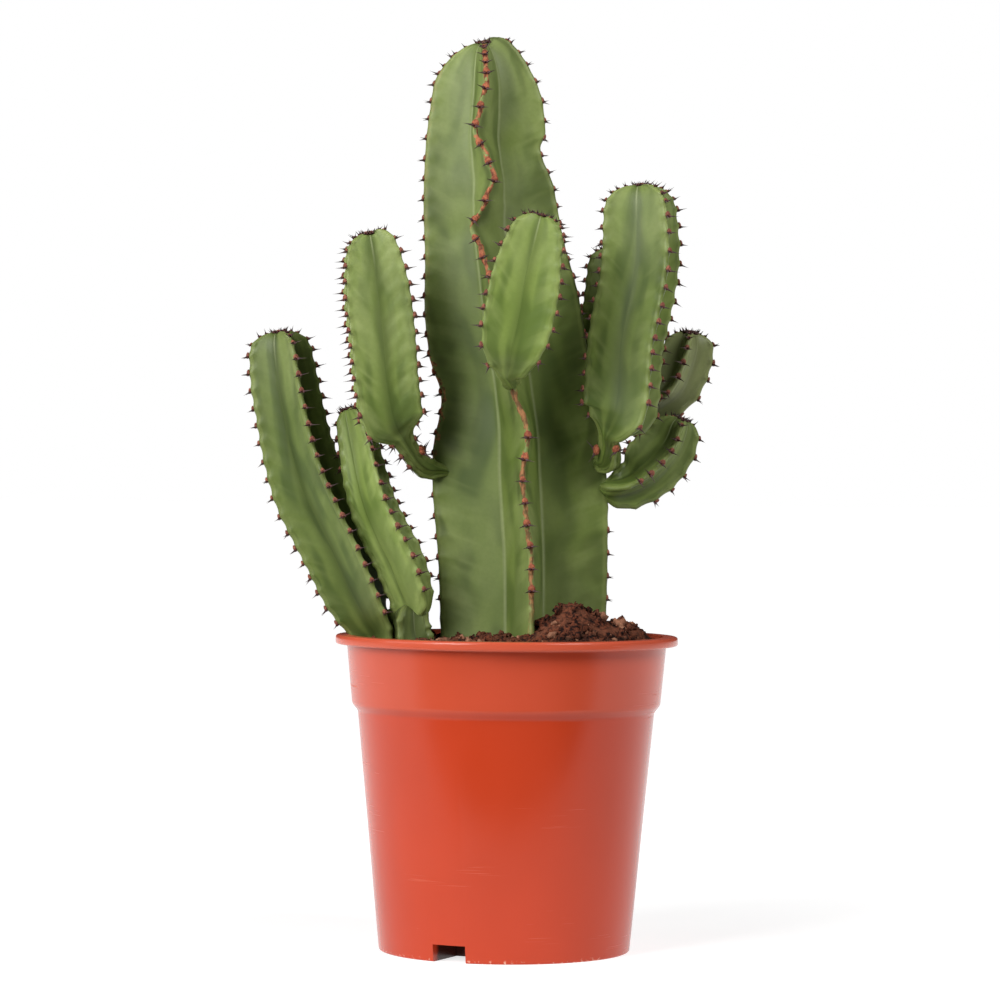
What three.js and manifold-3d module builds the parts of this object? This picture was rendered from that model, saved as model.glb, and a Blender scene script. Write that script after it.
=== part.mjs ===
// A potted candelabra euphorbia: ribbed stems with paired spines, in a soil-filled nursery pot.
// Millimetres, +Z up, origin at the centre of the underside of the pot. The front is -Y.
import * as THREE from 'three';
import { mergeVertices } from 'three/addons/utils/BufferGeometryUtils.js';
import Module from 'manifold-3d';

const wasm = await Module();
wasm.setup();

// Driving dimensions
const CLEARANCE = 0.35;
const SOIL_CLEARANCE = 0.5;

const POT = {
  height: 193,
  rimRadius: 105,
  rimDepth: 5.6,
  rimEdge: 0.9,
  bandTopRadius: 98,
  bandBottomRadius: 94.6,
  stepTop: 151,
  stepBottom: 146.5,
  stepEdge: 1.4,
  stepSlant: 0.5,
  bodyTopRadius: 91,
  baseRadius: 76.9,
  baseEdge: 1.3,
  wall: 1.7,
  floor: 2,
  sides: 56,
};

const NOTCH = {
  count: 3,
  firstAngle: 244.6,
  width: 21.5,
  height: 10.5,
  depthFrom: 44,
  depthTo: 82,
  slotLength: 12,
  slotWidth: 5,
  slotRadius: 58,
};

// How far a cutting body reaches past the surface that it cuts
const PASS = 1;

// A pad on the crest carries two spines; shares limit its size where a rib is short
const PAD = { length: 3.4, depth: 2.2, depthShare: 0.3, width: 1.8, widthShare: 0.25 };
const SPINE = { length: 7, outward: 0.55, sideways: 0.8, downward: 0.12 };
const SCALLOP = { depth: 2.1, share: 0.12 };

// Pads crowd together on a stem's tip: from this many dome heights down, to this share of the pitch
const CROWDING = { domes: 1.3, closest: 0.45, lastPad: 3 };

// Scales a crown so that it lifts the crest by its full height at its highest place
const CROWN_PEAK = 2.6;

// How round a stem is at its thin neck and how deep its furrows are where it is full-grown
const ROUND_NECK = { reach: 6, waist: 0.8 };
const FULL_RIBS = { reach: 16 };

// Stems. A path lists x, y, z and the reach of the ribs. A rib lists its bearing (0 right, 90 back,
// 180 left, 270 front) and its share of the reach; these and the pitch of the spine pairs are tables
// against millimetres along the stem.
const TRUNK = {
  path: [
    [10, 0, 150, 50], [10, 0, 190, 51], [9.5, 0, 240, 52.5], [7, 0, 289, 54], [4, 0, 330, 50.5],
    [0, 0, 362, 49], [-5, 0, 396, 48], [-9.5, 0, 429, 43.5], [-13, 0, 460, 41], [-15, 0, 491, 38],
    [-15, 0, 518, 35], [-15.5, 0, 538, 32], [-17.5, 0, 557, 29],
  ],
  ribs: [
    {
      bearing: [[0, 0]],
      share: [[315, 1], [341, 0.88], [355, 1], [370, 1], [402, 0.82]],
      bare: [[0, 62], [112, 170], [178, 202]],
      crown: 5,
    },
    { bearing: [[0, 92], [200, 84], [400, 95]], share: [[0, 0.9]], bare: [[180, 212]] },
    { bearing: [[0, 180]], share: [[160, 1], [196, 0.9], [222, 1]], bare: [[132, 156]] },
    {
      bearing: [
        [0, 276], [90, 276], [120, 273], [140, 272], [167, 278], [194, 270], [230, 266], [262, 263],
        [280, 257], [293, 250], [309, 266], [323, 277], [336, 270], [351, 257], [366, 263], [382, 270],
      ],
      share: [[0, 0.9]],
      bare: [[0, 66], [176, 208]],
    },
  ],
  waist: 0.32,
  dome: 28,
  tipShape: 2.1,
  pitch: [[170, 13.2], [260, 11.4]],
  rootFree: 54,
};

const FRONT_BRANCH = {
  path: [
    [2, -38, 346, 6], [1, -52, 348, 6.5], [0, -65, 352.5, 8], [1, -73, 358.5, 15], [2, -77, 367, 21],
    [4, -78, 378, 24], [6.5, -78, 391, 24.5], [8.5, -78, 403, 24.5], [11, -78, 416, 23],
    [14, -78, 429, 20.5], [18, -78, 446, 17],
  ],
  ribs: [{ bearing: [[0, 60]] }, { bearing: [[0, 122]] }, { bearing: [[0, 206]] }, { bearing: [[0, 334]] }],
  waist: 0.38,
  dome: 15,
  tipShape: 2.7,
  pitch: [[0, 9.6]],
  rootFree: 36,
};

const UPPER_LEFT_BRANCH = {
  path: [
    [-39, 1, 293, 8], [-48, -6, 294.5, 7.5], [-54.5, -15, 298.5, 7.5], [-60.5, -24, 306.5, 7.5],
    [-65.5, -31, 314.5, 9.5], [-69.5, -35.5, 322, 20], [-72, -38, 332, 22], [-74.5, -38, 348.5, 22.5],
    [-76.9, -38, 373.2, 23], [-79.9, -38, 397.7, 23], [-82.3, -38, 417.3, 20.5], [-85.3, -38, 436.9, 16.5],
  ],
  ribs: [
    { bearing: [[0, 70]] },
    { bearing: [[0, 158]] },
    { bearing: [[0, 212]] },
    { bearing: [[0, 340]], crown: 2.5 },
  ],
  waist: 0.38,
  dome: 15,
  tipShape: 2.7,
  pitch: [[0, 9.8]],
  rootFree: 26,
};

const OUTER_LEFT_BRANCH = {
  path: [
    [-75, -2, 160, 11], [-75, -3, 178, 13.5], [-76.8, -4, 193, 16], [-83, -6, 205, 20.5],
    [-91, -7, 221, 24], [-101, -8, 243, 25],
    [-111, -8, 263, 25.5], [-120, -8, 282, 25.5], [-128, -8, 306, 24], [-133, -8, 328, 23],
    [-137, -8, 349, 22.5], [-141, -8, 378, 20],
  ],
  ribs: [
    { bearing: [[20, 55], [130, 24]], share: [[0, 0.75], [40, 0.8], [70, 1]], bare: [[84, 176]] },
    { bearing: [[0, 105]] },
    { bearing: [[0, 188]] },
    { bearing: [[0, 296]] },
  ],
  waist: 0.36,
  dome: 15,
  tipShape: 2.7,
  pitch: [[0, 10.4]],
  rootFree: 46,
};

const INNER_LEFT_BRANCH = {
  path: [
    [-57, -14, 205, 11], [-58.5, -15, 212, 17], [-63, -16, 224, 20.5], [-69, -16, 239, 21.5],
    [-76.5, -16, 253, 21.5], [-84, -15.5, 270, 20.5], [-89.1, -14, 288, 19.5], [-92.3, -10, 303, 18],
    [-95.4, -6, 317, 16], [-98.6, -3, 331, 12.5],
  ],
  ribs: [
    { bearing: [[0, 5]], share: [[0, 0.88]] },
    { bearing: [[0, 78]] },
    { bearing: [[0, 185]], share: [[0, 0.9], [16, 0.66], [66, 0.64], [115, 0.66]], bare: [[0, 94]] },
    { bearing: [[0, 305]] },
  ],
  waist: 0.4,
  dome: 12,
  tipShape: 2.7,
  pitch: [[0, 9.8]],
  rootFree: 14,
};

const STUB = {
  path: [[-50, -15, 164, 11], [-54, -15, 181, 18], [-59, -14, 195, 20], [-59.5, -14, 212, 17]],
  ribs: [
    { bearing: [[0, 75]], share: [[0, 0.85]] },
    { bearing: [[0, 172]], share: [[0, 0.5], [34, 0.5], [47, 0.9]] },
    { bearing: [[0, 250]] },
    { bearing: [[0, 325]], share: [[0, 0.85]] },
  ],
  waist: 0.55,
  dome: 10,
  tipShape: 2.7,
  pitch: [[0, 10]],
  rootFree: 100,
};

const RIGHT_BRANCH = {
  path: [
    [54, -3, 298, 8], [59.5, -9, 300.5, 9.5], [61, -17, 306.5, 8.5], [61.5, -25, 315, 7.5],
    [64.5, -29, 322, 17.5], [67.5, -30, 329, 24], [69, -30, 340, 25.5], [70, -30, 354, 25.5],
    [71, -30, 370, 25.5], [74, -30, 387, 26], [78, -30, 407, 26], [80, -30, 427, 26],
    [79.5, -30, 446, 25], [78.5, -30, 468, 23],
  ],
  ribs: [{ bearing: [[0, 22]] }, { bearing: [[0, 105]] }, { bearing: [[0, 190]] }, { bearing: [[0, 308]] }],
  waist: 0.36,
  dome: 18,
  tipShape: 2.7,
  pitch: [[0, 10.2]],
  rootFree: 40,
};

const RIGHT_HORN = {
  path: [
    [56, -1, 285, 6], [61, 0, 284, 9], [66, 1, 284, 13], [71.5, 3, 285, 15.5], [79, 5, 288, 16.5],
    [87, 6, 293.5, 17.5], [94.5, 7, 301, 17.5], [101.5, 8, 311, 16], [107, 8, 327, 12.5],
  ],
  ribs: [
    { bearing: [[0, 0]] },
    { bearing: [[0, 90]] },
    { bearing: [[0, 180]], share: [[8, 0.85], [18, 0.9], [34, 1.3]] },
    { bearing: [[0, 272]] },
  ],
  waist: 0.42,
  dome: 10,
  tipShape: 2.7,
  pitch: [[0, 9.4]],
  rootFree: 22,
};

const RIGHT_BACK_BRANCH = {
  path: [
    [42, 2, 340, 6], [55, 12, 335, 6.5], [68, 21, 331, 8], [82, 24, 332, 11], [94, 24, 338, 14],
    [103, 22, 347, 16.5], [108, 22, 359, 17.5], [111, 22, 370, 17], [112.5, 22, 381, 15],
  ],
  ribs: [{ bearing: [[0, 0]] }, { bearing: [[0, 90]] }, { bearing: [[0, 180]] }, { bearing: [[0, 264]] }],
  waist: 0.42,
  dome: 12,
  tipShape: 2.7,
  pitch: [[0, 9.6]],
  rootFree: 48,
};

const BACK_BRANCH = {
  path: [
    [3, 36, 344, 6], [11, 48, 347, 6.5], [25, 54, 350, 7], [40, 52, 355, 10.5], [52, 46, 364, 15.5],
    [59, 42, 377, 18.5], [63, 40, 395, 19], [64, 40, 413, 18], [63, 40, 434, 15],
  ],
  ribs: [{ bearing: [[0, 10]] }, { bearing: [[0, 100]] }, { bearing: [[0, 190]] }, { bearing: [[0, 280]] }],
  waist: 0.42,
  dome: 13,
  tipShape: 2.7,
  pitch: [[0, 9.6]],
  rootFree: 40,
};

// Soil: level near the wall, raised round the trunk, heaped at the front right
const SOIL = {
  bottom: POT.floor + CLEARANCE,
  wallLevel: 187,
  rings: [0, 12, 24, 34, 43, 51, 58, 65, 72, 79, 85, 90],
  roughness: 1.3,
  edge: 0.5,
  levelWidth: 12,
  seed: 11,
  sides: 56,
  mounds: [
    { x: 4, y: 0, height: 6, spreadX: 60, spreadY: 60 },
    { x: 38, y: -38, height: 22, spreadX: 19, spreadY: 19 },
    { x: 69, y: -16, height: 13, spreadX: 23, spreadY: 32 },
  ],
};

// Helpers

/** A seeded random number maker, so the surface is the same each time. */
function seededRandom(seed) {
  let state = seed;
  return () => {
    state = (state * 1664525 + 1013904223) % 4294967296;
    return state / 4294967296;
  };
}

/** The value of a short table at s, eased between its entries. */
function eased(table, s) {
  const next = table.findIndex(([at]) => at > s);
  if (next === 0) return table[0][1];
  if (next < 0) return table[table.length - 1][1];
  const [s0, v0] = table[next - 1];
  const [s1, v1] = table[next];
  return THREE.MathUtils.lerp(v0, v1, THREE.MathUtils.smoothstep(s, s0, s1));
}

function toSolid(geometry) {
  const bare = geometry.clone();
  bare.deleteAttribute('normal');
  bare.deleteAttribute('uv');
  const merged = mergeVertices(bare, 1e-4);
  return new wasm.Manifold(
    new wasm.Mesh({
      numProp: 3,
      vertProperties: merged.attributes.position.array,
      triVerts: new Uint32Array(merged.index.array),
    }),
  );
}

function toGeometry(solid) {
  const mesh = solid.getMesh();
  const geometry = new THREE.BufferGeometry();
  geometry.setAttribute('position', new THREE.BufferAttribute(mesh.vertProperties, 3));
  geometry.setIndex(new THREE.BufferAttribute(mesh.triVerts, 1));
  geometry.computeVertexNormals();
  return geometry;
}

/** The largest body of a solid, without the scraps a cut leaves. */
function largest(solid) {
  const bodies = solid.decompose();
  return bodies.reduce((best, body) => (body.volume() > best.volume() ? body : best));
}

function turned(points, sides) {
  const profile = points.map(([radius, z]) => new THREE.Vector2(radius, z));
  return new THREE.LatheGeometry(profile, sides).rotateX(Math.PI / 2);
}

// Stems

/** The centre, the directions and the reach of a stem, ready to be read at any length along it. */
function makeCore(stem) {
  const centres = stem.path.map(([x, y, z]) => new THREE.Vector3(x, y, z));
  const reaches = stem.path.map((point) => new THREE.Vector3(point[3], 0, 0));
  const line = new THREE.CatmullRomCurve3(centres, false, 'catmullrom', 0.5);
  const reachLine = new THREE.CatmullRomCurve3(reaches, false, 'catmullrom', 0.5);
  line.arcLengthDivisions = 400;
  const length = line.getLength();
  const frameAt = (s) => {
    const u = THREE.MathUtils.clamp(s / length, 0, 1);
    const along = line.getTangentAt(u);
    const front = new THREE.Vector3(0, -1, 0);
    front.addScaledVector(along, -front.dot(along)).normalize();
    const side = new THREE.Vector3().crossVectors(along, front);
    const reach = reachLine.getPoint(line.getUtoTmapping(u)).x;
    const centre = line.getPointAt(u).addScaledVector(along, s - u * length);
    return { centre, along, side, back: front.negate(), reach };
  };
  return { length, frameAt };
}

/** How far up the rounded tip a place is, from 0 to 1. */
function tipRise(stem, core, s) {
  return THREE.MathUtils.clamp(1 - (core.length - s) / stem.dome, 0, 1);
}

/** How much of the reach is left in the rounded tip. */
function domeShare(stem, core, s) {
  return (1 - tipRise(stem, core, s) ** stem.tipShape) ** (1 / stem.tipShape);
}

/** How far a rib's crest stands up past the growing point that it rises round. */
function crownLift(stem, core, rib, s) {
  const rise = tipRise(stem, core, s);
  return (rib.crown || 0) * CROWN_PEAK * rise * rise * Math.sqrt(1 - rise * rise);
}

/** A point near a stem: its distance out along a bearing, and sideways from there. */
function pointAt(core, s, bearing, out, sideways = 0) {
  const frame = core.frameAt(s);
  const angle = THREE.MathUtils.degToRad(bearing);
  const point = frame.centre.clone();
  point.addScaledVector(frame.side, Math.cos(angle) * out - Math.sin(angle) * sideways);
  point.addScaledVector(frame.back, Math.sin(angle) * out + Math.cos(angle) * sideways);
  return point;
}

/** Where the spine pairs sit along a rib: the pitch apart, and closer together on the tip. */
function padPositions(stem, core, ribIndex) {
  const positions = [];
  let s = eased(stem.pitch, 0) * (ribIndex % 2 ? 0.5 : 1);
  while (s < core.length - CROWDING.lastPad) {
    positions.push(s);
    const share = (core.length - s) / (stem.dome * CROWDING.domes);
    s += eased(stem.pitch, s) * THREE.MathUtils.clamp(share, CROWDING.closest, 1);
  }
  return positions;
}

/** The length of a rib from the centreline to its crest. */
function crestReach(stem, core, rib, s) {
  const share = rib.share ? eased(rib.share, s) : 1;
  return core.frameAt(s).reach * share * domeShare(stem, core, s);
}

function waistAt(stem, core, s) {
  const table = [[ROUND_NECK.reach, ROUND_NECK.waist], [FULL_RIBS.reach, stem.waist]];
  return eased(table, core.frameAt(s).reach);
}

/** The crest of a rib: a pad's two ends at each tooth and the dip between teeth. */
function crestRow(stem, core, rib, pads, grow) {
  const isBare = (s) => s < stem.rootFree || (rib.bare || []).some(([from, to]) => s > from && s < to);
  const vertex = (s, pad) => {
    const out = crestReach(stem, core, rib, s) + grow;
    const point = pointAt(core, s, eased(rib.bearing, s), out);
    point.addScaledVector(core.frameAt(s).along, crownLift(stem, core, rib, s));
    return { s, point, pad, bare: isBare(s) };
  };
  const row = [vertex(-grow)];
  pads.forEach((s, index) => {
    const half = Math.min(PAD.length / 2, (core.length - s) / 3);
    const low = vertex(s - half, index);
    const depth = grow > 0 ? 0 : Math.min(SCALLOP.depth, crestReach(stem, core, rib, s) * SCALLOP.share);
    if (index > 0) row.push(dipBetween(core, row[row.length - 1], low, depth));
    row.push(low, vertex(s + half, index));
  });
  return row;
}

/** The lowest point of the crest between two teeth; a cutter has no dips. */
function dipBetween(core, above, below, depth) {
  const s = (above.s + below.s) / 2;
  const inward = core.frameAt(s).centre.sub(above.point).normalize();
  return { s, point: above.point.clone().lerp(below.point, 0.5).addScaledVector(inward, depth) };
}

/** A row of points beside the crest, on the side given as 1 or -1. */
function shoulderRow(stem, core, rib, pads, side, grow) {
  return [-grow, ...pads].map((s, index) => {
    const reach = crestReach(stem, core, rib, s);
    const out = reach - Math.min(PAD.depth, reach * PAD.depthShare) + grow;
    const sideways = side * (Math.min(PAD.width, reach * PAD.widthShare) + grow);
    const point = pointAt(core, s, eased(rib.bearing, s), out, sideways);
    point.addScaledVector(core.frameAt(s).along, crownLift(stem, core, rib, s));
    return { s, point, pad: index - 1 };
  });
}

/** The bottom of the furrow between a rib and the next one round. */
function furrowRow(stem, core, rib, nextRib, pads, grow) {
  return [-grow, ...pads].map((s) => {
    const first = eased(rib.bearing, s);
    const second = eased(nextRib.bearing, s);
    const gap = (second - first + 360) % 360;
    const reach = (crestReach(stem, core, rib, s) + crestReach(stem, core, nextRib, s)) / 2;
    const out = reach * waistAt(stem, core, s) + grow;
    return { s, point: pointAt(core, s, first + gap / 2, out) };
  });
}

/** The rows of a stem in order round it. */
function stemRows(stem, core, grow) {
  const rows = [];
  stem.ribs.forEach((rib, index) => {
    const nextRib = stem.ribs[(index + 1) % stem.ribs.length];
    const pads = padPositions(stem, core, index);
    rows.push(shoulderRow(stem, core, rib, pads, -1, grow));
    rows.push(crestRow(stem, core, rib, pads, grow));
    rows.push(shoulderRow(stem, core, rib, pads, 1, grow));
    rows.push(furrowRow(stem, core, rib, nextRib, pads, grow));
  });
  return rows;
}

/** The tip of a spine that stands on a pad, on the side of the rib given by its shoulder. */
function spineTip(stem, core, low, high, shoulder) {
  const base = low.point.clone().add(high.point).add(shoulder.point).divideScalar(3);
  const frame = core.frameAt(shoulder.s);
  const crest = low.point.clone().lerp(high.point, 0.5);
  const outward = crest.clone().sub(frame.centre).normalize();
  const sideways = shoulder.point.clone().sub(crest);
  sideways.addScaledVector(outward, -sideways.dot(outward)).normalize();
  const direction = outward.multiplyScalar(SPINE.outward);
  direction.addScaledVector(sideways, SPINE.sideways).addScaledVector(frame.along, -SPINE.downward);
  return base.addScaledVector(direction.normalize(), SPINE.length);
}

/** Fills the strip between two neighbouring rows; a spine replaces each triangle that is a pad. */
function zipRows(stem, core, first, second, hasSpines, add) {
  const place = (a, b, c) => {
    const corners = [a, b, c];
    const [low, high, shoulder] = padCorners(first, second, corners);
    if (!hasSpines || !low || low.bare) {
      add(a.point, b.point, c.point);
      return;
    }
    const tip = spineTip(stem, core, low, high, shoulder);
    corners.forEach((corner, index) => add(corner.point, corners[(index + 1) % 3].point, tip));
  };
  let i = 0;
  let j = 0;
  while (i < first.length - 1 || j < second.length - 1) {
    const firstNext = i < first.length - 1 ? first[i + 1].s : Infinity;
    const secondNext = j < second.length - 1 ? second[j + 1].s : Infinity;
    if (firstNext <= secondNext) {
      place(first[i], second[j], first[i + 1]);
      i += 1;
    } else {
      place(first[i], second[j], second[j + 1]);
      j += 1;
    }
  }
}

/** The low end, high end and shoulder of a pad, if a triangle's corners are just those. */
function padCorners(first, second, corners) {
  const [one, two] = [first, second].map((row) => corners.filter((corner) => row.includes(corner)));
  const [crest, shoulder] = one.length === 2 ? [one, two] : [two, one];
  const pad = shoulder[0].pad;
  if (pad === undefined || pad < 0 || crest.some((corner) => corner.pad !== pad)) return [];
  const [low, high] = crest.sort((a, b) => a.s - b.s);
  return [low, high, shoulder[0]];
}

/** One stem as a closed solid; grown and without spines it is the cutter that clears a neighbour. */
function stemSolid(stem, grow = 0) {
  const core = makeCore(stem);
  const rows = stemRows(stem, core, grow);
  const corners = [];
  const add = (a, b, c) => corners.push(...a.toArray(), ...b.toArray(), ...c.toArray());
  const root = core.frameAt(-grow).centre;
  const tip = core.frameAt(core.length + grow).centre;
  rows.forEach((row, index) => {
    const next = rows[(index + 1) % rows.length];
    zipRows(stem, core, row, next, grow === 0, add);
    add(root, next[0].point, row[0].point);
    add(row[row.length - 1].point, next[next.length - 1].point, tip);
  });
  const geometry = new THREE.BufferGeometry();
  geometry.setAttribute('position', new THREE.Float32BufferAttribute(corners, 3));
  return toSolid(geometry);
}

// Pot

function notchBoxes(from, to, width, bottom, top) {
  return Array.from({ length: NOTCH.count }, (_, index) => {
    const angle = NOTCH.firstAngle + (360 / NOTCH.count) * index;
    const box = new THREE.BoxGeometry(to - from, width, top - bottom);
    box.translate((from + to) / 2, 0, (bottom + top) / 2);
    return toSolid(box.rotateZ(THREE.MathUtils.degToRad(angle)));
  });
}

function potSolid() {
  const { height, rimRadius, rimEdge, baseEdge, stepEdge, stepSlant, wall, floor } = POT;
  const rimBottom = height - POT.rimDepth;
  const outside = turned([
    [0, 0],
    [POT.baseRadius - baseEdge, 0],
    [POT.baseRadius, baseEdge],
    [POT.bodyTopRadius, POT.stepBottom],
    [POT.bodyTopRadius + stepSlant, POT.stepBottom + stepEdge],
    [POT.bandBottomRadius - stepSlant, POT.stepTop - stepEdge],
    [POT.bandBottomRadius, POT.stepTop],
    [POT.bandTopRadius, rimBottom],
    [rimRadius - rimEdge, rimBottom],
    [rimRadius, rimBottom + rimEdge],
    [rimRadius, height - rimEdge],
    [rimRadius - rimEdge, height],
    [0, height],
  ], POT.sides);
  const inside = turned([
    [0, floor],
    [POT.baseRadius - wall, floor],
    [POT.bodyTopRadius - wall, POT.stepBottom],
    [POT.bandBottomRadius - wall, POT.stepTop],
    [POT.bandTopRadius - wall, rimBottom],
    [POT.bandTopRadius - wall, height + PASS],
    [0, height + PASS],
  ], POT.sides);
  const pocketTop = NOTCH.height + wall;
  const pocketFrom = NOTCH.depthFrom - wall;
  const pockets = notchBoxes(pocketFrom, POT.rimRadius, NOTCH.width + 2 * wall, 0, pocketTop);
  const notches = notchBoxes(NOTCH.depthFrom, NOTCH.depthTo, NOTCH.width, -PASS, NOTCH.height);
  const slotFrom = NOTCH.slotRadius - NOTCH.slotWidth / 2;
  const slotTo = NOTCH.slotRadius + NOTCH.slotWidth / 2;
  const slots = notchBoxes(slotFrom, slotTo, NOTCH.slotLength, floor, pocketTop + PASS);
  const cavity = pockets.reduce((solid, box) => solid.subtract(box), toSolid(inside));
  return [cavity, ...notches, ...slots].reduce((solid, cut) => solid.subtract(cut), toSolid(outside));
}

// Soil

function moundHeight(x, y) {
  return SOIL.mounds.reduce((sum, mound) => {
    const across = (x - mound.x) / mound.spreadX;
    const deep = (y - mound.y) / mound.spreadY;
    return sum + mound.height * Math.exp(-across * across - deep * deep);
  }, 0);
}

/** The soil as it fills the pot, before the stems' holes are cut. */
function soilBlock() {
  const clear = POT.wall + CLEARANCE;
  const wallRadius = POT.bandTopRadius - clear;
  const geometry = turned([
    [0, SOIL.bottom],
    [POT.baseRadius - clear, SOIL.bottom],
    [POT.bodyTopRadius - clear, POT.stepBottom],
    [POT.bandBottomRadius - clear, POT.stepTop],
    [wallRadius - SOIL.edge, SOIL.wallLevel],
    ...SOIL.rings.slice().reverse().map((radius) => [radius, SOIL.wallLevel]),
  ], SOIL.sides);
  const solid = mergeVertices(geometry.deleteAttribute('uv').deleteAttribute('normal'), 1e-4);
  const positions = solid.attributes.position;
  const random = seededRandom(SOIL.seed);
  for (let i = 0; i < positions.count; i += 1) {
    const [x, y, z] = [positions.getX(i), positions.getY(i), positions.getZ(i)];
    const radius = Math.hypot(x, y);
    if (z < SOIL.wallLevel - PASS) continue;
    const fade = THREE.MathUtils.smoothstep(wallRadius - radius, SOIL.edge, SOIL.levelWidth);
    positions.setZ(i, z + fade * (moundHeight(x, y) + (random() - 0.5) * 2 * SOIL.roughness));
  }
  return toSolid(solid);
}

function soilSolid(rootedStems) {
  const pocketTop = NOTCH.height + POT.wall + CLEARANCE;
  const pocketWidth = NOTCH.width + 2 * (POT.wall + CLEARANCE);
  const pocketFrom = NOTCH.depthFrom - POT.wall - CLEARANCE;
  const pockets = notchBoxes(pocketFrom, POT.rimRadius, pocketWidth, 0, pocketTop);
  const holes = rootedStems.map((stem) => stemSolid(stem, SOIL_CLEARANCE));
  return largest([...pockets, ...holes].reduce((solid, cut) => solid.subtract(cut), soilBlock()));
}

// The plant in its pot

/** A ring round the stems just wider than the pot's mouth, which trims a rib that leans on the rim. */
function mouthRing() {
  const from = POT.bandTopRadius - POT.wall - CLEARANCE;
  const to = POT.rimRadius;
  const top = POT.height + CLEARANCE;
  return toSolid(turned([[from, 0], [to, 0], [to, top], [from, top], [from, 0]], POT.sides));
}

const GREEN = { roughness: 0.5, metalness: 0 };
const trunkCutter = stemSolid(TRUNK, CLEARANCE);
const fromTrunk = (stem) => largest(stemSolid(stem).subtract(trunkCutter));
const outerLeft = largest(stemSolid(OUTER_LEFT_BRANCH).subtract(mouthRing()));

const pieces = [
  ['pot', potSolid(), { color: 0xc4492c, roughness: 0.3, metalness: 0 }],
  ['soil', soilSolid([TRUNK, OUTER_LEFT_BRANCH, STUB]), { color: 0x3a221a, roughness: 0.95, metalness: 0 }],
  ['trunk', stemSolid(TRUNK), { color: 0x4c6a3a, ...GREEN }],
  ['branch_front', fromTrunk(FRONT_BRANCH), { color: 0x5c8146, ...GREEN }],
  ['branch_upper_left', fromTrunk(UPPER_LEFT_BRANCH), { color: 0x53763f, ...GREEN }],
  ['branch_outer_left', outerLeft, { color: 0x4d703b, ...GREEN }],
  ['branch_inner_left', stemSolid(INNER_LEFT_BRANCH).add(stemSolid(STUB)), { color: 0x547940, ...GREEN }],
  ['branch_right', fromTrunk(RIGHT_BRANCH), { color: 0x56803f, ...GREEN }],
  ['horn_right', fromTrunk(RIGHT_HORN), { color: 0x5b8246, ...GREEN }],
  ['branch_right_back', fromTrunk(RIGHT_BACK_BRANCH), { color: 0x4b6a3c, ...GREEN }],
  ['branch_back', fromTrunk(BACK_BRANCH), { color: 0x42603a, ...GREEN }],
];

const plant = new THREE.Group();
for (const [name, solid, look] of pieces) {
  const mesh = new THREE.Mesh(toGeometry(solid), new THREE.MeshStandardMaterial(look));
  mesh.name = name;
  plant.add(mesh);
}

export default plant;
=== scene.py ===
# A potted candelabra euphorbia: ribbed stems with corky pads and paired spines, in a plastic pot.
# Lengths are written in millimetres and turned into metres where a mesh is made.
import math
from types import SimpleNamespace as Measures

import bpy
import numpy as np
from mathutils import Euler, Matrix, Vector, noise


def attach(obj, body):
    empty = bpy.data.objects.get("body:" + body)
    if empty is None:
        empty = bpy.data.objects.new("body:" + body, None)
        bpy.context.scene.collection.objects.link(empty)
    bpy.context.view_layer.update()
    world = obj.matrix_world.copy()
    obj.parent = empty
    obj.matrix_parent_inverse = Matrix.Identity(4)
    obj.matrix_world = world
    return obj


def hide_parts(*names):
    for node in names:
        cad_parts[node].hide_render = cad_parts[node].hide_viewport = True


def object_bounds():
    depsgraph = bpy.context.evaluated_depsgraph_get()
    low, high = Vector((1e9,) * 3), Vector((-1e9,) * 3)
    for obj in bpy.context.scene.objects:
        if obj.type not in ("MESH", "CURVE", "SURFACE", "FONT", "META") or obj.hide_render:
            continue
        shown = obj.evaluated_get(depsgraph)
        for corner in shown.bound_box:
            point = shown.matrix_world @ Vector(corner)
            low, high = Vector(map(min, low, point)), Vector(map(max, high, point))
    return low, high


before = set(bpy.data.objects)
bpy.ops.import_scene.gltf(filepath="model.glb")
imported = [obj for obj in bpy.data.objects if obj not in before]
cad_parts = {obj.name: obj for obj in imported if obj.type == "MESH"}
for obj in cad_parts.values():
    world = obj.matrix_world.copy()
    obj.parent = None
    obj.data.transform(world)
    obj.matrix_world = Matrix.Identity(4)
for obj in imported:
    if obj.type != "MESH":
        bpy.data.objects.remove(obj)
CAD_BOX = [list(corner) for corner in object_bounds()]

MM = 0.001
# Keeps a division by nothing from failing
TINY = 1e-6
SEED = 7
random = np.random.default_rng(SEED)

# The pot and its drain notches, to the measures of the CAD
POT = Measures(
    height=193, rim_radius=105, rim_depth=5.6, band_top_radius=98, band_bottom_radius=94.6,
    step_top=151, step_bottom=146.5, body_top_radius=91, base_radius=76.9, wall=1.7, floor=2,
    sides=168, corner_points=6, sharp_angle=38,
)
NOTCH = Measures(
    count=3, first_angle=244.6, width=21.5, height=10.5, depth_from=44, depth_to=82, slot_length=12,
    slot_from=55.5, slot_to=60.5,
)

# The soil's surface: level near the wall, raised round the trunk, heaped at the front right. Its
# roughness lists heights and the widths of their lumps. A mound lists its x, y and height, and how
# far it spreads each way.
SOIL = Measures(
    wall_level=187, radius=95.6, bottom=120, bottom_inset=4, rings=64, sides=176, clearance=0.35,
    mound_fade=12, rough_fade=5, roughness=[(2.4, 9), (1.5, 3.4), (0.6, 1.4)],
    mounds=[(4, 0, 6, 60, 60), (38, -38, 22, 19, 19), (69, -16, 13, 23, 32)],
)

# Crumbs on the soil, as radii, each dented and squashed by its own draws
CRUMB = Measures(
    count=1500, from_wall=4, smallest=0.6, growth=0.9, largest=4.6, dents=(0.5, 1.3),
    squash=(0.4, 1.2), raised=0.25, rings=5, sides=8,
)
GROUND_TONE = 0.3


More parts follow.
